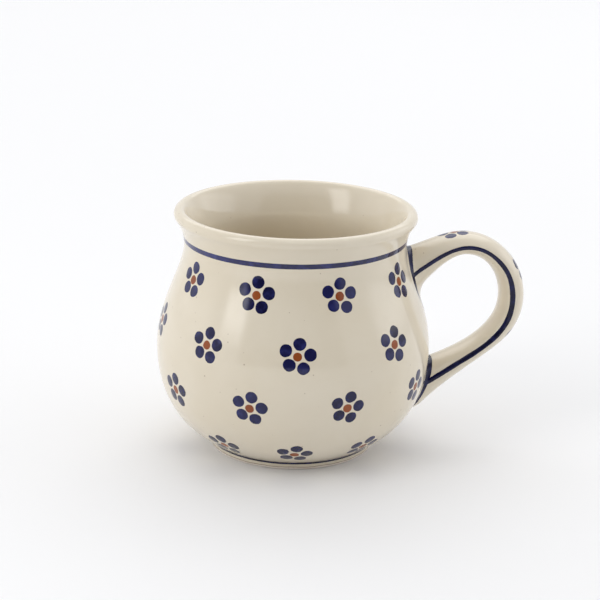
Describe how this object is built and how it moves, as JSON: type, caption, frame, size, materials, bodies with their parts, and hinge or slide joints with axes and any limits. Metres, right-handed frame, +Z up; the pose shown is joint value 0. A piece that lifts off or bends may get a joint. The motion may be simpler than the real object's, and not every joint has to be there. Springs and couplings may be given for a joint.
{
  "type": "stoneware mug",
  "caption": "Round-bellied stoneware mug with a flared neck, rolled lip, foot ring and a pulled strap handle.",
  "frame": {"origin": "on the table under the middle of the whole mug, handle included", "axes": "+Z up out of the mouth, +X towards the handle, Y across the handle"},
  "size_m": [0.1244, 0.092, 0.082],
  "materials": {
    "body_glaze": "glossy cream glaze with cobalt and rust decoration, bare clay under the foot",
    "handle_glaze": "glossy cream glaze with a cobalt line on each side",
    "slip": "fired joining slip under glossy glaze"
  },
  "bodies": {
    "root": {"body": "body_glaze", "handle": "handle_glaze", "upper_slip_joint": "slip", "lower_slip_joint": "slip"}
  },
  "joints": []
}
